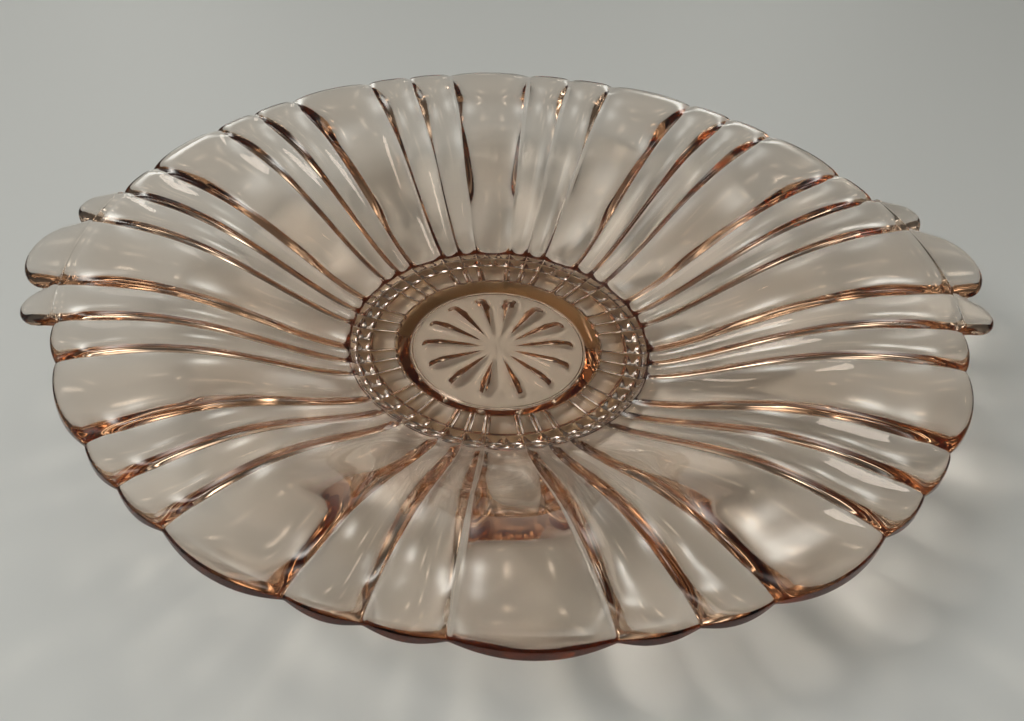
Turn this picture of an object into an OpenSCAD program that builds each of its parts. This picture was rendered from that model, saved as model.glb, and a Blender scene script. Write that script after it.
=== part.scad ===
// Handled candy dish in pressed glass: a low fluted bowl with a scalloped rim,
// two handles, a flat well with a petalled medallion and a beaded foot.
// The origin is at the middle of the foot's resting plane, +Z is up and the
// handles lie along X. The real dish is one casting. Its regions are kept as
// separate solids that meet face to face.

/* [Rim] */
// Radius of the rim in the notches between two lobes
rim_r = 80; // [76:1:86]
// Height of the flat rim above the table
rim_h = 25.4; // [24:0.2:28]
// How far a wide lobe stands out past the notches
wide_out = 1.4; // [0.6:0.1:2.4]
// How far a narrow lobe stands out past the notches
narrow_out = 0.7; // [0.3:0.1:1.2]
// Thickness of the glass at a rim notch
rim_t = 1.7; // [1.2:0.1:2.4]

/* [Flutes] */
// Number of wide flutes, each with a pair of narrow ones after it
wide_flutes = 12; // [8:2:16]
// Share of one repeat that the wide flute takes
wide_share = 0.49; // [0.42:0.01:0.56]
// Hollow of a wide flute's top, as a share of its half width
wide_hollow = 0.08; // [0.04:0.01:0.14]
// Hollow of a narrow flute's top, as a share of its half width
narrow_hollow = 0.17; // [0.06:0.01:0.2]
// Swell of a wide flute's underside, as a share of its half width
wide_swell = 0.27; // [0.2:0.01:0.34]
// Swell of a narrow flute's underside, as a share of its half width
narrow_swell = 0.4; // [0.2:0.01:0.44]
// Thickness of the wall under a ridge
ridge_t = 2.5; // [2:0.1:3.2]

/* [Well] */
// Radius of the step where the wall meets the well
well_r = 31.2; // [29:0.2:33]
// Height of that step's upper edge
well_edge_h = 6; // [5.6:0.1:7]
// Height of the well's floor
floor_h = 4.2; // [4:0.1:4.6]
// Radius of the medallion in the middle
medallion_r = 17.5; // [16.5:0.1:17.8]
// Number of petals pressed into the medallion's underside
petals = 14; // [10:2:18]

/* [Foot] */
// Radius of the foot's outer edge on the table
foot_r = 18.1; // [17.9:0.1:18.6]
// Radius where the foot's sloping side meets the well's underside
foot_root_r = 21; // [20:0.1:22]
// Height of the well's underside round the foot
foot_h = 1.9; // [1.5:0.1:2.2]
// Height of the recess inside the foot
recess_h = 0.4; // [0.2:0.1:0.8]
// Radius of the beads in the inner row, next to the foot
inner_bead_r = 1.3; // [1:0.1:1.3]
// Radius of the beads in the outer row, under the well's edge
outer_bead_r = 1.1; // [0.8:0.1:1.1]

/* [Handles] */
// Reach of a handle's wide tongue from the middle of the dish
tongue_reach = 89.4; // [86:0.2:94]
// Reach of the two narrow tongues beside it
side_reach = 86.5; // [84:0.1:90]
// Reach in the clefts between the wide tongue and the narrow ones
cleft_reach = 83.6; // [82.5:0.1:86]
// Radius of the mould line where a handle leaves the rim
seam_r = 80.4; // [80.2:0.1:80.6]

/* [Hidden] */

rose = [0.86, 0.66, 0.56, 0.55];
rose_deep = [0.74, 0.48, 0.36, 0.6];

// One repeat of the fluting: half angles of the flutes and steps across each.
pitch = 360 / wide_flutes;
wide_a = pitch * wide_share / 2;
narrow_a = (pitch / 2 - wide_a) / 2;
wide_steps = 6;
narrow_steps = 4;
repeat_steps = wide_steps + 2 * narrow_steps;
around = repeat_steps * wide_flutes;

// The ridges follow one S-shaped curve from the well up to the rim.
// The wall's flat facets start a hair outside the round well, so that the two only touch.
wall_gap = 0.02;
crest_start = [well_r + wall_gap, well_edge_h];
crest_pull_in = [well_r + 14.5, well_edge_h + 5.4];
crest_pull_out = [rim_r - 23, rim_h - 0.2];
crest_end = [rim_r, rim_h];
// Shares of that curve where the rim starts and where the hollows begin to fade.
rim_start = 0.88;
hollow_fade = 0.86;
// A wide flute is flat in the middle and turns up at its ridges, so its powers are high.
wide_top_power = 4;
wide_under_power = 3;
narrow_power = 2;
// Towards the rim a lobe's underside rises like the end of a hull.
hull_start = 72;
hull_share = 0.6;
// A wide flute also has a low belly underneath, which ends steeply towards the rim.
belly_start = 40;
belly_crown = 51;
belly_end = 63;
belly_depth = 1.5;
belly_power = 1.4;
belly_flatness = 4;
// Rings of points up the wall, across the rim, round its nose and along a handle.
wall_rings = 14;
rim_rings = 4;
nose_steps = 5;
lip = 0.8;
end_droop = 0.5;
handle_rings = 5;
handle_half = wide_a + 2 * narrow_a;
tongue_nose = 0.75;
tongue_roundness = 0.6;
end_reach = rim_r + 1.6;

function bezier(a, b, c, d, s) =
    pow(1 - s, 3) * a + 3 * pow(1 - s, 2) * s * b + 3 * (1 - s) * s * s * c + pow(s, 3) * d;
function crest(s) = bezier(crest_start, crest_pull_in, crest_pull_out, crest_end, s);
function clamp(x) = max(0, min(1, x));
function ease(x) = let (c = clamp(x)) c * c * (3 - 2 * c);
function mix(a, b, s) = a + (b - a) * s;

// Station i round the dish: [angle, place across its flute from -1 to 1, half angle].
function is_wide(i) = (i + around) % repeat_steps < wide_steps;
function station(i) =
    let (j = (i + around) % repeat_steps,
         base = floor(i / repeat_steps) * pitch,
         wide = j < wide_steps,
         side = floor((j - wide_steps) / narrow_steps),
         place = wide ? -1 + 2 * j / wide_steps
                      : -1 + 2 * ((j - wide_steps) % narrow_steps) / narrow_steps,
         middle = wide ? 0 : wide_a + narrow_a * (1 + 2 * side),
         half = wide ? wide_a : narrow_a)
    [base + middle + place * half, place, half];
function bulge(i) = let (p = station(i)[1]) 1 - p * p;
function half_width(i, r) = r * sin(station(i)[2]);
function lobe_out(i) = (is_wide(i) ? wide_out : narrow_out) * bulge(i);
function at(i, r, z) = let (a = station(i)[0]) [r * cos(a), r * sin(a), z];

// Heights of the two faces, from the height of the ridges at the same place.
function arch(i, power) = 1 - pow(abs(station(i)[1]), power);
function hull(r) =
    let (u = clamp((r - hull_start) / (rim_r - lip - hull_start)))
    1 - hull_share * u * u;
function belly(i, r) =
    let (rise = ease((r - belly_start) / (belly_crown - belly_start)),
         fall = 1 - pow(clamp((r - belly_crown) / (belly_end - belly_crown)), belly_power))
    is_wide(i) ? belly_depth * rise * fall * arch(i, belly_flatness) : 0;
function top_z(i, r, z, s) =
    let (depth = is_wide(i) ? wide_hollow * arch(i, wide_top_power) : narrow_hollow * arch(i, narrow_power))
    z - depth * half_width(i, r) * (1 - ease((s - hollow_fade) / (1 - hollow_fade)));
function under_z(i, r, z, s) =
    let (depth = is_wide(i) ? wide_swell * arch(i, wide_under_power) : narrow_swell * arch(i, narrow_power))
    z - mix(ridge_t, rim_t, ease(s)) - depth * half_width(i, r) * hull(r) - belly(i, r);

function ring_s(k) = rim_start * k / wall_rings;
function wall_top(i, k) = let (s = ring_s(k), c = crest(s)) at(i, c[0], top_z(i, c[0], c[1], s));
function wall_under(i, k) = let (s = ring_s(k), c = crest(s)) at(i, c[0], under_z(i, c[0], c[1], s));

// Faces of a ring-shaped solid whose section has n points and repeats m times.
function ring_faces(n, m) =
    [for (i = [0:m - 1], k = [0:n - 1], t = [0, 1])
        let (i2 = (i + 1) % m, k2 = (k + 1) % n)
        t == 0 ? [i * n + k, i * n + k2, i2 * n + k2] : [i * n + k, i2 * n + k2, i2 * n + k]];

module fluted_wall() {
    // A closed section at every station: up the top face, then back underneath.
    sections = [for (i = [0:around - 1])
        concat([for (k = [0:wall_rings]) wall_top(i, k)],
               [for (k = [wall_rings:-1:0]) wall_under(i, k)])];
    color(rose)
        polyhedron(points = [for (section = sections, p = section) p],
                   faces = ring_faces(2 * wall_rings + 2, around), convexity = 8);
}

// The rim runs out to the scalloped edge, or to the mould line at the handles.
// Angle of a station from the middle of the handle on its side of the dish.
function handle_angle(i) = let (a = station(i)[0] + 360) ((a + 90) % 180) - 90;
function off_handle(i) = abs(handle_angle(i)) > handle_half + 0.01;
function rim_s(k) = rim_start + (1 - rim_start) * k / rim_rings;
function edge_r(i) = off_handle(i) ? rim_r - lip : seam_r;
function rim_point(i, k) =
    let (s = rim_s(k), c = crest(s), start_r = crest(rim_start)[0],
         r = start_r + (edge_r(i) - start_r) * (c[0] - start_r) / (rim_r - start_r))
    [r, c[1], s];
function rim_top(i, k) = let (p = rim_point(i, k)) at(i, p[0], top_z(i, p[0], p[1], p[2]));
function rim_under(i, k) = let (p = rim_point(i, k)) at(i, p[0], under_z(i, p[0], p[1], p[2]));
function nose(i, k) =
    let (p = rim_point(i, rim_rings), high = top_z(i, p[0], p[1], 1), low = under_z(i, p[0], p[1], 1),
         a = 90 - 180 * k / (nose_steps + 1),
         reach = off_handle(i) ? lip + lobe_out(i) : 0)
    at(i, p[0] + reach * cos(a), (high + low) / 2 + (high - low) / 2 * sin(a));

module scalloped_rim() {
    sections = [for (i = [0:around - 1])
        concat([for (k = [0:rim_rings]) rim_top(i, k)],
               [for (k = [1:nose_steps]) nose(i, k)],
               [for (k = [rim_rings:-1:0]) rim_under(i, k)])];
    color(rose)
        polyhedron(points = [for (section = sections, p = section) p],
                   faces = ring_faces(2 * rim_rings + 2 + nose_steps, around), convexity = 8);
}

// Outline of a handle: a wide tongue in the middle and a narrow one each side.
function tongue_r(i) =
    let (p = station(i)[1], wide = is_wide(i), q = (1 + sign(handle_angle(i)) * p) / 2)
    wide ? cleft_reach + (tongue_reach - cleft_reach) * pow(bulge(i), tongue_roundness)
         : q < 0.5 ? mix(cleft_reach, side_reach, sin(180 * q))
                   : mix(end_reach, side_reach, sqrt(1 - pow(2 * q - 1, 2)));
function handle_under(i, q) =
    let (low = under_z(i, seam_r, rim_h, 1)) mix(low, low + end_droop, q);
function handle_top(q) = rim_h - end_droop * q * q;
function handle_section(i) =
    let (reach = tongue_r(i) - tongue_nose,
         mid = (handle_top(1) + handle_under(i, 1)) / 2,
         rise = (handle_top(1) - handle_under(i, 1)) / 2)
    concat([for (k = [0:handle_rings]) let (q = k / handle_rings)
               at(i, mix(seam_r, reach, q), handle_top(q))],
           [for (k = [1:nose_steps]) let (a = 90 - 180 * k / (nose_steps + 1))
               at(i, reach + tongue_nose * cos(a), mid + rise * sin(a))],
           [for (k = [handle_rings:-1:0]) let (q = k / handle_rings)
               at(i, mix(seam_r, reach, q), handle_under(i, q))]);

module handle() {
    first = -narrow_steps;
    last = wide_steps + narrow_steps;
    n = 2 * handle_rings + 2 + nose_steps;
    // The sections run from one end notch to the other, and each end is capped.
    sections = [for (i = [first:last]) handle_section(i)];
    count = len(sections);
    sides = [for (i = [0:count - 2], k = [0:n - 1], t = [0, 1])
        let (k2 = (k + 1) % n)
        t == 0 ? [i * n + k, i * n + k2, (i + 1) * n + k2]
               : [i * n + k, (i + 1) * n + k2, (i + 1) * n + k]];
    caps = [[for (k = [n - 1:-1:0]) k], [for (k = [0:n - 1]) (count - 1) * n + k]];
    polyhedron(points = [for (section = sections, p = section) p],
               faces = concat(sides, caps), convexity = 8);
}

module handle_right() {
    color(rose_deep) handle();
}

module handle_left() {
    color(rose_deep) rotate([0, 0, 180]) handle();
}

// Sizes in the base. The well's side leans inward from its edge down to the floor.
wall_foot_h = 3.4;
step_lean = 2.6;
step_round = 0.3;
foot_round = 0.1;
block_r = 25.4;
inner_row_r = 27.3;
inner_row_h = 2.8;
outer_row_r = 29.9;
outer_row_h = 3.4;
beads_around = wide_flutes * 3;
bead_facets = 10;
petal_groove_r = 1.4;
petal_groove_depth = 1;
petal_start = 5;
petal_end = 15.5;

module bead_row(row_r, row_h, bead_r, turn) {
    for (i = [0:beads_around - 1])
        rotate([0, 0, (i + turn) * 360 / beads_around])
            translate([row_r, 0, row_h]) sphere(r = bead_r, $fn = bead_facets);
}

module well_floor() {
    color(rose_deep) union() {
        rotate_extrude($fn = 96)
            polygon([[medallion_r, foot_h], [block_r, foot_h], [well_r, wall_foot_h],
                     [well_r, well_edge_h - step_round],
                     [well_r - 2 * step_round, well_edge_h - 2 * step_round],
                     [well_r - step_lean + 3 * step_round, floor_h + step_round],
                     [well_r - step_lean, floor_h], [medallion_r, floor_h]]);
        bead_row(inner_row_r, inner_row_h, inner_bead_r, 0);
        bead_row(outer_row_r, outer_row_h, outer_bead_r, 0.5);
    }
}

module centre_medallion() {
    color(rose) difference() {
        translate([0, 0, recess_h]) cylinder(h = floor_h - recess_h, r = medallion_r, $fn = 96);
        for (i = [0:petals - 1])
            rotate([0, 0, (i + 0.5) * 360 / petals + 90])
                translate([petal_start, 0, recess_h - petal_groove_r + petal_groove_depth])
                    rotate([0, 90, 0]) cylinder(h = petal_end - petal_start, r = petal_groove_r, $fn = 32);
    }
}

// The foot stands outside the medallion, under the inner edge of the well's floor.
module foot_ring() {
    color(rose_deep) rotate_extrude($fn = 96)
        polygon([[medallion_r, foot_h], [medallion_r, recess_h], [medallion_r + foot_round, 0],
                 [foot_r, 0], [foot_root_r, foot_h]]);
}

fluted_wall();
scalloped_rim();
well_floor();
centre_medallion();
foot_ring();
handle_left();
handle_right();
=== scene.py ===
# %% [markdown]
# A handled candy dish in pink pressed glass. The real dish is one casting: a plunger
# presses a gob of glass into a fluted mould. So the looks are one closed glass mesh,
# because a wall made of several touching solids would show every inner face.
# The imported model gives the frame, the box and the body that the mesh rides on.

# %% Load the frame
import math

import bmesh
import bpy
from mathutils import Matrix, Vector


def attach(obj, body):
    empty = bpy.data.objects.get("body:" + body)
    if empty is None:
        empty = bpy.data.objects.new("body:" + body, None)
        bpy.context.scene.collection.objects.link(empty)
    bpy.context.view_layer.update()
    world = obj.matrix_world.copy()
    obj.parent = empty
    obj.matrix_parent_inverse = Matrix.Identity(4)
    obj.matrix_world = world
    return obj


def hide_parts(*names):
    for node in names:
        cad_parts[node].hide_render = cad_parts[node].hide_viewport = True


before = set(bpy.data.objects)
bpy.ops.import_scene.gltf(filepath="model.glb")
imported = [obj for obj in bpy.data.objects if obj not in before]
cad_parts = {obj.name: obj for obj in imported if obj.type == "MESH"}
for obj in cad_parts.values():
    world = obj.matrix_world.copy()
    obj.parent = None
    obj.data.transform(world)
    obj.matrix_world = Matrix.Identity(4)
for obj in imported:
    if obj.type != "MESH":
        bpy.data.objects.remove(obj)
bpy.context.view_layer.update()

# %% [markdown]
# Every size is in millimetres, as on a mould maker's drawing, and is turned into metres
# once, when the mesh is shaped. The rim's radius in the notches is the driving size.
# One repeat of the pattern is a wide flute and two narrow ones, and twelve repeats go
# round the dish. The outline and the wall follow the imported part's rules, and the looks
# add the ring of blocks, a dip in the rim at each notch and the mould line.

# %% Sizes
MM = 0.001
rim_r = 80.0
rim_h = 25.4
wide_out = 1.4
narrow_out = 0.7
lip = 0.8
rim_t = 1.7
ridge_t = 2.5
repeats = 12
pitch = 360.0 / repeats
wide_share = 0.49
wide_half = pitch * wide_share / 2
narrow_half = (pitch / 2 - wide_half) / 2
wide_hollow, wide_hollow_power = 0.11, 4.0
narrow_hollow, narrow_hollow_power = 0.2, 2.0
wide_swell, wide_swell_power = 0.27, 3.0
narrow_swell, narrow_swell_power = 0.42, 2.0
well_r = 31.2
well_edge_h = 6.0
floor_h = 4.2
foot_h = 1.9
foot_r = 18.0
petals = 14
seam_r = 80.4
tongue_reach = 89.4
side_reach = 86.5
cleft_reach = 83.6
end_reach = 81.0
print("one repeat:", pitch, "degrees; wide flute:", round(2 * wide_half, 2), "degrees")

# %% [markdown]
# Two small helpers serve every shape. Ease is a smooth step, which lets a hollow or a
# swell die away without a crease. Soften rounds the crease where two flutes meet, as
# fire polishing rounds the ridges of a pressed dish.

# %% Helpers for shapes


def clamp(x, low=0.0, high=1.0):
    return max(low, min(high, x))


def ease(x):
    x = clamp(x)
    return x * x * (3 - 2 * x)


def mix(a, b, share):
    return a + (b - a) * share


def soften(depth, rounding):
    return math.sqrt(depth * depth + rounding * rounding) - rounding


def bezier(a, b, c, d, s):
    return tuple((1 - s) ** 3 * a[k] + 3 * (1 - s) ** 2 * s * b[k] + 3 * (1 - s) * s * s * c[k]
                 + s ** 3 * d[k] for k in (0, 1))


# %% [markdown]
# A flute is known by its half angle, and a point by its place across the flute, from -1
# at one ridge to 1 at the other. The stations round the dish crowd together at the
# ridges, where the surface turns most, so the mesh spends its faces there.

# %% Stations round the dish
wide_steps = 20
narrow_steps = 14


def places(steps):
    even = [-1 + 2 * k / steps for k in range(steps)]
    return [0.5 * u + 0.5 * math.sin(u * math.pi / 2) for u in even]


def stations():
    found = []
    for repeat in range(repeats):
        flutes = ((0.0, wide_half, True, wide_steps),
                  (wide_half + narrow_half, narrow_half, False, narrow_steps),
                  (wide_half + 3 * narrow_half, narrow_half, False, narrow_steps))
        for middle, half, wide, steps in flutes:
            for place in places(steps):
                found.append((repeat * pitch + middle + place * half, place, half, wide))
    return found


def handle_angle(angle):
    return (angle + 90.0) % 180.0 - 90.0


def handle_share(angle):
    return ease((pitch / 2 + 0.3 - abs(handle_angle(angle))) / 0.8)


ring = stations()
print("stations round the dish:", len(ring))

# %% [markdown]
# The wall's ridges lie on one S-shaped curve from the well to the rim. On top each flute
# is a shallow hollow between two ridges. Underneath it swells into a lobe, with a sharp
# groove under each ridge. Those steep lobe sides are what turn light back into the glass
# and draw the brown streaks along every flute.

# %% The wall's curves
crest_start, crest_end = (well_r, well_edge_h), (rim_r, rim_h)
crest_pull_in, crest_pull_out = (45.7, well_edge_h + 5.4), (57.0, rim_h - 0.2)
rim_start = 0.88
top_rounding, under_rounding = 0.08, 0.03
hollow_full, hollow_fade = 0.06, 0.86
hull_start = 72.0
hull_share = 0.6
belly_start, belly_crown, belly_end, belly_depth = 40.0, 51.0, 63.0, 1.5
belly_power, belly_flatness = 1.4, 4
notch_dip, dip_start, dip_power = 0.5, 0.92, 6


def crest(s):
    return bezier(crest_start, crest_pull_in, crest_pull_out, crest_end, s)


def bulge(place):
    return 1 - place * place


def edge_r(station):
    return mix(rim_r - lip, seam_r, handle_share(station[0]))


def wall_point(station, s):
    r, z = crest(s)
    start_r = crest(rim_start)[0]
    if r > start_r:
        r = start_r + (edge_r(station) - start_r) * (r - start_r) / (rim_r - start_r)
    return r, z


def half_width(station, r):
    return r * math.sin(math.radians(station[2]))


def arch(place, power, rounding):
    return soften(1 - abs(place) ** power, rounding)


def wall_top(station, s):
    r, z = wall_point(station, s)
    depth, power = (wide_hollow, wide_hollow_power) if station[3] else (narrow_hollow, narrow_hollow_power)
    depth *= half_width(station, r) * arch(station[1], power, top_rounding * power)
    kept = mix(0.5, 1, ease(s / hollow_full)) * (1 - ease((s - hollow_fade) / (1 - hollow_fade)))
    dip = notch_dip * abs(station[1]) ** dip_power * ease((s - dip_start) / (1 - dip_start))
    return r, z - depth * kept - dip * (1 - handle_share(station[0]))


def belly(station, r):
    if not station[3]:
        return 0.0
    rise = ease((r - belly_start) / (belly_crown - belly_start))
    fall = 1 - clamp((r - belly_crown) / (belly_end - belly_crown)) ** belly_power
    return belly_depth * rise * fall * (1 - station[1] ** belly_flatness)


def wall_under(station, s):
    r, z = wall_point(station, s)
    depth, power = (wide_swell, wide_swell_power) if station[3] else (narrow_swell, narrow_swell_power)
    depth *= half_width(station, r) * arch(station[1], power, under_rounding)
    hull = 1 - hull_share * clamp((r - hull_start) / (rim_r - lip - hull_start)) ** 2
    return r, z - mix(ridge_t, rim_t, ease(s)) - depth * hull - belly(station, r)


# %% [markdown]
# Away from the handles the rim is a rounded nose that stands out a little further on a
# wide lobe than on a narrow one, which gives the scalloped outline. At the handles the
# nose stretches into three tongues. A fine raised line, left where the mould's parts
# met, crosses each handle where the rim would have ended. It is lower on the left one.

# %% The rim's nose and the handle tongues
corner_share = 0.85
nose_top, nose_side = 0.35, 0.5
nose_share = (0.4, 0.6)
tongue_nose = 0.9
tongue_roundness = 0.7
droop, crown_drop = 0.5, 0.6
seam_rise_right, seam_rise_left = 0.36, 0.2
seam_place, seam_width = 0.05, 0.045


def lobe_out(station):
    return (wide_out if station[3] else narrow_out) * bulge(station[1])


def tongue_r(station):
    away = handle_angle(station[0])
    if station[3]:
        return cleft_reach + (tongue_reach - cleft_reach) * bulge(station[1]) ** tongue_roundness
    across = (abs(away) - wide_half) / (2 * narrow_half)
    if across < 0.5:
        return mix(cleft_reach, side_reach, math.sin(math.pi * clamp(across)))
    return mix(end_reach, side_reach, math.sqrt(1 - clamp(2 * across - 1) ** 2))


def nose_point(station, along):
    r, high = wall_top(station, 1.0)
    low = wall_under(station, 1.0)[1]
    corner = r + lip + corner_share * lobe_out(station)
    out = (1 - corner_share) * lobe_out(station)
    widest = (corner + out, mix(high, low, 0.5 + 0.12 * bulge(station[1])))
    if along < nose_top:
        return bezier((r, high), (r + 0.5 * lip, high), (corner, high - 0.05),
                      (corner + 0.1 * out, high - 0.4), along / nose_top)
    if along < nose_side:
        q = (along - nose_top) / (nose_side - nose_top)
        return mix(corner + 0.1 * out, widest[0], q), mix(high - 0.4, widest[1], q)
    return bezier(widest, (widest[0], mix(widest[1], low, 0.45)),
                  (widest[0] - 0.6, mix(widest[1], low, 0.75)), (r, low),
                  (along - nose_side) / (1 - nose_side))


def tongue_point(station, along):
    start, high = wall_top(station, 1.0)
    low = wall_under(station, 1.0)[1]
    reach = tongue_r(station) - tongue_nose
    crown = crown_drop * station[1] ** 4
    if along < nose_share[0]:
        q = along / nose_share[0]
        rise = seam_rise_right if math.cos(math.radians(station[0])) > 0 else seam_rise_left
        seam = rise * clamp(1 - abs(q - seam_place) / seam_width)
        return mix(start, reach, q), high - (droop + crown) * q * q + seam
    if along > nose_share[1]:
        q = (1 - along) / (1 - nose_share[1])
        return mix(start, reach, q), low + droop * q
    turn = math.radians(90 - 180 * (along - nose_share[0]) / (nose_share[1] - nose_share[0]))
    top, under = high - droop - crown, low + droop
    return reach + tongue_nose * math.cos(turn), (top + under) / 2 + (top - under) / 2 * math.sin(turn)


def edge_point(station, along):
    share = handle_share(station[0])
    nose, tongue = nose_point(station, along), tongue_point(station, along)
    return mix(nose[0], tongue[0], share), mix(nose[1], tongue[1], share)


# %% [markdown]
# Under the well's edge the lobes end in a ring groove. Inside it come two rows of beads,
# each a small pyramid with a blunt top, so the facets sparkle. Under a wide flute there
# are three in the outer row and two in the inner one, and one under a narrow flute. Next come
# the blocks, which are low pillows with notches between, and then the foot's steep
# side, which traps light as a brown band. Painted shade on the skin of the beads, the
# notches and the foot's side deepens that brown. Inside the foot is a shallow recess, and the
# grooves cut up into it leave a ring of petals with rounded ends.

# %% The base's curves
rim_groove = (31.0, 3.7)
groove_a = (28.8, 3.3)
groove_b = (26.1, 2.95)
outer_beads, inner_beads = 3, 2
outer_drop, bead_drop = 1.15, 1.35
bead_steepness = 1.3
block_outer, block_end, block_inner = 24.6, 22.0, 21.0
block_rise = 0.35
# the last width is how far the painted shade spreads from each notch between the blocks
notch_cut, notch_width, notch_shade_width = 0.8, 0.42, 0.5
heel_h = 0.12
foot_in = 17.6
recess_r, recess_h = 17.4, 0.35
petal_half = 180.0 / petals
petal_start_r, petal_end_r = 3.0, 13.2
petal_cut = 0.52
floor_r = 28.4
step_r, step_h = 29.95, floor_h + 0.75


def blunt(place):
    return min(1.0, bead_steepness * (1 - abs(place)))


def share_out(station, count):
    return (count * (station[1] + 1) / 2) % 1 * 2 - 1 if station[3] else station[1]


def lobe_end(station, along):
    r, low = wall_under(station, 0.0)
    return mix(r, rim_groove[0], along), mix(low, rim_groove[1], along)


def outer_bead(station, along):
    r, z = mix(rim_groove[0], groove_a[0], along), mix(rim_groove[1], groove_a[1], along)
    return r, z - outer_drop * min(blunt(2 * along - 1), blunt(share_out(station, outer_beads)))


def bead(station, along):
    r, z = mix(groove_a[0], groove_b[0], along), mix(groove_a[1], groove_b[1], along)
    return r, z - bead_drop * min(blunt(2 * along - 1), blunt(share_out(station, inner_beads)))


def ridge_share(station, r, width):
    return math.exp(-((1 - abs(station[1])) * half_width(station, r) / width) ** 2)


def foot_block(station, along):
    if along < 0.25:
        r, z = bezier(groove_b, (25.9, 2.0), (25.6, foot_h), (block_outer, foot_h), along / 0.25)
    elif along > 0.75:
        r, z = bezier((block_end, foot_h), (21.2, foot_h), (20.9, foot_h + 0.1),
                      (block_inner, foot_h + block_rise), (along - 0.75) / 0.25)
    else:
        r, z = mix(block_outer, block_end, (along - 0.25) / 0.5), foot_h
    notch = notch_cut * ridge_share(station, r, notch_width)
    return r, z + notch * (groove_b[1] - z) / (groove_b[1] - foot_h)


def foot_side(station, along):
    if along < 0.8:
        return mix(block_inner, foot_r, along / 0.8), mix(foot_h + block_rise, heel_h, along / 0.8)
    return bezier((foot_r, heel_h), (foot_r - 0.08, 0.02), (foot_r - 0.15, 0.0), (foot_in, 0.0),
                  (along - 0.8) / 0.2)


def foot_inside(station, along):
    return bezier((foot_in, 0.0), (foot_in - 0.1, 0.0), (recess_r + 0.2, recess_h),
                  (recess_r, recess_h), along)


def medallion_under(station, along):
    r = mix(recess_r, 0.0, along)
    turn = (station[0] - 90.0 + petal_half) % (2 * petal_half) - petal_half
    half = math.sin(math.radians(petal_half))
    if r < petal_end_r:
        cut = petal_cut * max(0.0, r - petal_start_r) * half * (turn / petal_half) ** 2
    else:
        size = (petal_end_r - petal_start_r) * half
        side = r * math.sin(math.radians(petal_half - abs(turn)))
        reach = math.hypot(r - petal_end_r, side) / size
        cut = petal_cut * size * max(0.0, 1 - reach) ** 2
        if r < petal_end_r + size:
            along_end = (r - petal_end_r) / size
            cut = max(cut, petal_cut * size * math.sqrt(1 - along_end ** 2) * max(0.0, 1 - side / size) ** 2)
    return r, recess_h + cut


def floor_top(station, along):
    return mix(0.0, floor_r, along), floor_h


def well_step(station, along):
    end = wall_top(station, 0.0)
    if along < 0.5:
        return bezier((floor_r, floor_h), (29.3, floor_h), (29.6, floor_h + 0.2), (step_r, step_h), along * 2)
    return bezier((step_r, step_h), (30.3, floor_h + 1.3), (30.5, end[1] - 0.2), end, along * 2 - 1)


# %% [markdown]
# The section is a chain of courses from the middle of the well, over the rim and back to
# the middle underneath. A spin turns the chain into a closed skin, as a lathe would, and
# a layer on the points remembers each point's course. Then every point moves to its own
# place, which presses the flutes, beads, petals and handles into the plain skin.

# %% Courses of the section


def shares(count):
    return [k / count for k in range(count)]


tongue_shares = ([0.4 * q for q in (0, 0.02, 0.05, 0.08, 0.12, 0.25, 0.42, 0.6, 0.78, 0.92)]
                 + [0.4 + 0.2 * q / 6 for q in range(7)]
                 + [1 - 0.4 * q for q in (0.92, 0.75, 0.5, 0.25)])
wall_shares = [math.sin(0.5 * math.pi * k / 33) * 0.35 + 0.65 * k / 33 for k in range(33)]
courses = ([(floor_top, k) for k in (0.0, 0.3, 0.6, 0.9)]
           + [(well_step, k) for k in shares(10)]
           + [(wall_top, s) for s in wall_shares]
           + [(edge_point, e) for e in tongue_shares]
           + [(wall_under, 1 - k) for k in shares(35)]
           + [(lobe_end, k) for k in (0.0, 0.5)]
           + [(outer_bead, k) for k in shares(8)]
           + [(bead, k) for k in shares(10)]
           + [(foot_block, k) for k in (0, 0.04, 0.08, 0.13, 0.19, 0.25, 0.42, 0.58, 0.75, 0.82, 0.89, 0.95)]
           + [(foot_side, k) for k in (0, 0.15, 0.4, 0.65, 0.8, 0.87, 0.94)]
           + [(foot_inside, k) for k in (0, 0.3, 0.6)]
           + [(medallion_under, k) for k in (0.0, 0.01, 0.03, 0.05, 0.08, 0.11, 0.14, 0.17, 0.2, 0.24, 0.28,
                                             0.34, 0.4, 0.46, 0.52, 0.58, 0.64, 0.7, 0.76, 0.82, 0.88,
                                             0.94, 1.0)])
print("courses in the section:", len(courses))

# %% [markdown]
# The whole dish is one press of the mould, so it is one mesh. How near each point lies to
# a notch between the blocks is also kept as a number on each point, so that painted shade can darken the
# glass there.
# The printed count of open edges must be nought, or the depth of the glass has no meaning.

# %% Spin the section and press the pattern into it


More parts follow.
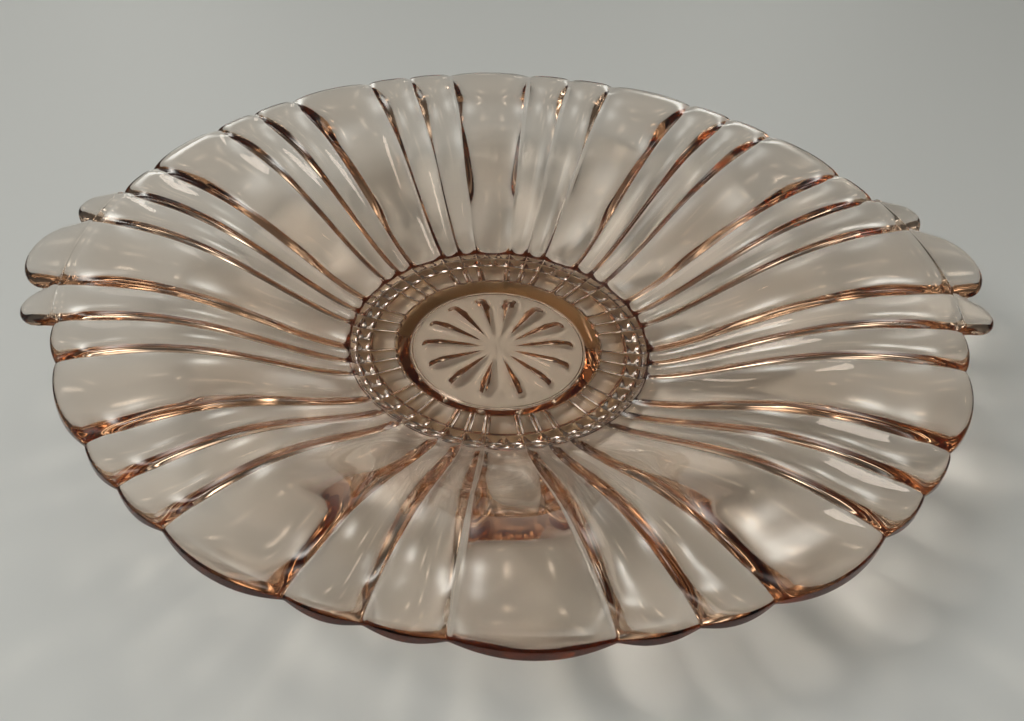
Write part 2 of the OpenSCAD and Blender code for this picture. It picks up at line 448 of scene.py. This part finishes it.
def press_dish():
    mesh = bmesh.new()
    course_layer = mesh.verts.layers.float.new("course")
    notch_shade_layer = mesh.verts.layers.float.new("notch")
    plain = ring[0]
    chain = []
    for number, (curve, share) in enumerate(courses):
        r, z = curve(plain, share)
        point = mesh.verts.new((r * MM, 0.0, z * MM))
        point[course_layer] = number
        chain.append(point)
    edges = [mesh.edges.new(pair) for pair in zip(chain, chain[1:])]
    bmesh.ops.spin(mesh, geom=chain + edges, cent=(0, 0, 0), axis=(0, 0, 1), angle=math.tau,
                   steps=len(ring), use_merge=True)
    step = math.tau / len(ring)
    for point in mesh.verts:
        number = round(point[course_layer])
        curve, share = courses[number]
        turn = math.atan2(point.co.y, point.co.x) % math.tau
        station = ring[round(turn / step) % len(ring)]
        r, z = curve(station, share)
        angle = math.radians(station[0])
        point.co = Vector((r * math.cos(angle), r * math.sin(angle), z)) * MM
        # painted shade: block points near a notch get a number that darkens the glass there
        point[notch_shade_layer] = ridge_share(station, r, notch_shade_width) if curve is foot_block else 0.0
    bmesh.ops.remove_doubles(mesh, verts=mesh.verts, dist=0.002 * MM)
    bmesh.ops.recalc_face_normals(mesh, faces=mesh.faces)
    for face in mesh.faces:
        face.smooth = True
    data = bpy.data.meshes.new("dish")
    mesh.to_mesh(data)
    volume = mesh.calc_volume(signed=True)
    open_edges = sum(1 for edge in mesh.edges if not edge.is_manifold)
    mesh.free()
    print("faces:", len(data.polygons), "glass:", round(volume * 1e6, 2), "cm3; open edges:", open_edges)
    return data


dish = bpy.data.objects.new("dish", press_dish())
bpy.context.collection.objects.link(dish)
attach(dish, "root")
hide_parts("fluted_wall", "scalloped_rim", "well_floor", "centre_medallion", "foot_ring",
            "handle_left", "handle_right")

# %% [markdown]
# The glass and the room's light are both sums and products of simple quantities, such as
# the distance from the middle. A small class wraps one socket, so that those can be
# written as plain arithmetic and each line reads like the formula it stands for.

# %% A wrapper for shader sockets


class Signal:
    """One output socket. Arithmetic on it adds Math nodes to its tree."""

    def __init__(self, tree, socket):
        self.tree, self.socket = tree, socket

    def make(self, kind, settings=None, inputs=None, output=0):
        node = self.tree.nodes.new(kind)
        for name, value in (settings or {}).items():
            setattr(node, name, value)
        for name, value in (inputs or {}).items():
            if isinstance(value, Signal):
                self.tree.links.new(value.socket, node.inputs[name])
            else:
                node.inputs[name].default_value = value
        return Signal(self.tree, node.outputs[output])

    def math(self, operation, *values):
        return self.make("ShaderNodeMath", {"operation": operation}, dict(enumerate(values)))

    def __add__(self, other):
        return self.math("ADD", self, other)

    def __mul__(self, other):
        return self.math("MULTIPLY", self, other)

    def __pow__(self, other):
        return self.math("POWER", self, other)

    __radd__, __rmul__ = __add__, __mul__

    def ramp(self, value, start, end):
        return self.make("ShaderNodeMapRange", {"interpolation_type": "SMOOTHSTEP"},
                         {"Value": value, "From Min": start, "From Max": end})

    def above(self, least):
        return self.math("MAXIMUM", self, least)

    def into(self, socket):
        self.tree.links.new(self.socket, socket)


# %% [markdown]
# The glass is clear at the surface and takes its colour from depth. Light loses blue
# first, then green, for every millimetre it travels inside. So a thin wall looks almost
# grey and a ray caught in a lobe comes out brown. The beads, the notches and the foot's
# side also get painted shade: a darker, browner colour on the skin that stands for the
# light trapped in their steep facets, because those parts came out too pale. Real glass
# has no such colour on its skin. The skin has long soft ripples from the mould and a
# faint haze of wear.

# %% Pink glass
# zones on the underside where painted shade darkens the skin's colour
bead_shade_zone_in, bead_shade_zone_out = (0.0204, 0.0262), (0.0316, 0.0308)
foot_shade_zone_in, foot_shade_zone_out = (0.0178, 0.0182), (0.0214, 0.0208)
underside_zone = (0.0038, 0.0033)
# the plain skin colour, then the painted shade of the beads and of the notches and foot side
clear_skin, bead_painted_shade, notch_painted_shade = (0.99, 0.98, 0.97, 1), (0.62, 0.42, 0.25, 1), (0.42, 0.24, 0.1, 1)
depth_colour, depth_strength = (0.75, 0.47, 0.2, 1), 100.0
most_haze = 0.004


def glass_material():
    material = bpy.data.materials.new("pink_glass")
    material.use_nodes = True
    tree = material.node_tree
    shader = tree.nodes["Principled BSDF"]
    shader.inputs["IOR"].default_value = 1.52
    shader.inputs["Transmission Weight"].default_value = 1.0
    start = Signal(tree, None)
    place = start.make("ShaderNodeTexCoord", output="Object")
    across = start.make("ShaderNodeSeparateXYZ", inputs={0: place}, output="X")
    deep = start.make("ShaderNodeSeparateXYZ", inputs={0: place}, output="Y")
    height = start.make("ShaderNodeSeparateXYZ", inputs={0: place}, output="Z")
    reach = (across * across + deep * deep) ** 0.5
    # painted shade: the beads, the notches and the foot's side get a darker, browner skin colour, standing
    # for light trapped there
    low = start.ramp(height, *underside_zone)
    bead_shade_mask = start.ramp(reach, *bead_shade_zone_in) * start.ramp(reach, *bead_shade_zone_out) * low
    foot_shade_mask = start.ramp(reach, *foot_shade_zone_in) * start.ramp(reach, *foot_shade_zone_out) * low
    shaded_skin = start.make("ShaderNodeMix", {"data_type": "RGBA"}, {0: bead_shade_mask, 6: clear_skin, 7: bead_painted_shade}, 2)
    notch = start.make("ShaderNodeAttribute", {"attribute_name": "notch"}, output="Fac")
    shaded_skin = start.make("ShaderNodeMix", {"data_type": "RGBA"}, {0: foot_shade_mask + notch, 6: shaded_skin, 7: notch_painted_shade}, 2)
    shaded_skin.into(shader.inputs["Base Color"])
    ripple = start.make("ShaderNodeTexNoise", inputs={"Vector": place, "Scale": 90.0, "Detail": 2.0})
    haze = start.make("ShaderNodeTexNoise", inputs={"Vector": place, "Scale": 900.0, "Detail": 3.0})
    (haze * most_haze).into(shader.inputs["Roughness"])
    bump = start.make("ShaderNodeBump", inputs={"Strength": 0.2, "Distance": 0.0003, "Height": ripple})
    bump.into(shader.inputs["Normal"])
    depth = start.make("ShaderNodeVolumeAbsorption",
                       inputs={"Color": depth_colour, "Density": depth_strength})
    depth.into(tree.nodes["Material Output"].inputs["Volume"])
    return material


dish.data.materials.append(glass_material())
print("material:", dish.data.materials[0].name)

# %% [markdown]
# The dish stands on a plain pale floor. One large soft lamp stands for a window on the
# left, and a weaker one in front lifts the shadow. Neither is seen in reflections,
# which come from the room's glows instead.

# %% Floor and lamps
floor_half = 1.5


def lay_floor():
    mesh = bmesh.new()
    bmesh.ops.create_grid(mesh, x_segments=1, y_segments=1, size=floor_half)
    data = bpy.data.meshes.new("floor")
    mesh.to_mesh(data)
    mesh.free()
    thing = bpy.data.objects.new("floor", data)
    bpy.context.collection.objects.link(thing)
    material = bpy.data.materials.new("pale_floor")
    material.use_nodes = True
    shader = material.node_tree.nodes["Principled BSDF"]
    shader.inputs["Base Color"].default_value = (0.72, 0.725, 0.69, 1)
    shader.inputs["Roughness"].default_value = 0.5
    data.materials.append(material)


lay_floor()


def softbox(name, place, power, size=0.45):
    lamp = bpy.data.lights.new(name, "AREA")
    lamp.shape = "DISK"
    lamp.size = size
    lamp.energy = power
    thing = bpy.data.objects.new(name, lamp)
    thing.visible_glossy = False
    thing.location = place
    thing.rotation_euler = (-Vector(place)).to_track_quat("-Z", "Y").to_euler()
    bpy.context.collection.objects.link(thing)


softbox("left_window", (-0.66, -0.26, 0.77), 4.2)
softbox("front_fill", (0.1, -0.7, 0.8), 1.1)

# %% [markdown]
# The room is a soft grey shell. Glows stand for a lit ceiling, two tall windows behind the
# dish and a pale wall on the left. Each row gives degrees to the left of straight back,
# degrees up, how tight the glow is, and its strength. They leave long soft highlights.

# %% The room's soft light
glows = ((60.0, 72.0, 140.0, 3.0), (0.0, 80.0, 9.0, 0.16),
         (20.0, 8.0, 260.0, 3.0), (17.0, 30.0, 420.0, 7.0), (19.0, 54.0, 260.0, 3.0),
         (-20.0, 8.0, 260.0, 2.6), (-17.0, 30.0, 420.0, 6.0), (-19.0, 54.0, 260.0, 2.6),
         (0.0, 4.0, 60.0, 0.8), (85.0, 35.0, 14.0, 0.35))
world = bpy.data.worlds.new("room")
world.use_nodes = True
room = Signal(world.node_tree, None)
look = room.make("ShaderNodeTexCoord", output="Generated")
height = room.make("ShaderNodeSeparateXYZ", inputs={0: look}, output="Z")
light = 0.05 + 0.05 * height.above(0.0) ** 1.2
for left, up, tightness, strength in glows:
    left, up = math.radians(left), math.radians(up)
    toward = (-math.sin(left) * math.cos(up), math.cos(left) * math.cos(up), math.sin(up))
    facing = room.make("ShaderNodeVectorMath", {"operation": "DOT_PRODUCT"}, {0: look, 1: toward}, "Value")
    light = light + strength * facing.above(0.0) ** tightness
background = world.node_tree.nodes["Background"]
background.inputs["Color"].default_value = (1.0, 1.0, 0.94, 1)
light.into(background.inputs["Strength"])
bpy.context.scene.world = world
print("glows in the room:", len(glows))

# %% [markdown]
# The dish is seen from just in front and well above, at about 42 degrees, with a wide
# lens held close. That is why the near flutes look long and the far ones short.

# %% The camera
lens = bpy.data.cameras.new("camera")
lens.sensor_width = 36.0
lens.lens = 30.32
lens.shift_x = 0.0632
lens.shift_y = -0.0008
lens.clip_start = 0.005
camera = bpy.data.objects.new("camera", lens)
turn = (Matrix.Rotation(math.radians(-0.32), 4, "Z") @ Matrix.Rotation(math.radians(47.93), 4, "X")
        @ Matrix.Rotation(math.radians(0.79), 4, "Z"))
camera.matrix_world = Matrix.Translation(Vector((-11.06, -133.72, 119.1)) * MM) @ turn
bpy.context.collection.objects.link(camera)
bpy.context.scene.camera = camera
print("camera at", [round(value, 4) for value in camera.matrix_world.translation], "metres")

# %% [markdown]
# Glass needs many bounces: a ray that enters a lobe is turned back several times before
# it leaves, and a ray that runs out of bounces ends in black. Blurring of indirect glossy
# light is off, because with it the floor under the dish and the glass came out too dark.

# %% Light paths
scene = bpy.context.scene
scene.view_settings.view_transform = "Standard"
scene.cycles.max_bounces = 32
scene.cycles.glossy_bounces = 16
scene.cycles.transmission_bounces = 24
scene.cycles.blur_glossy = 0.0
print("bounces allowed:", scene.cycles.max_bounces)
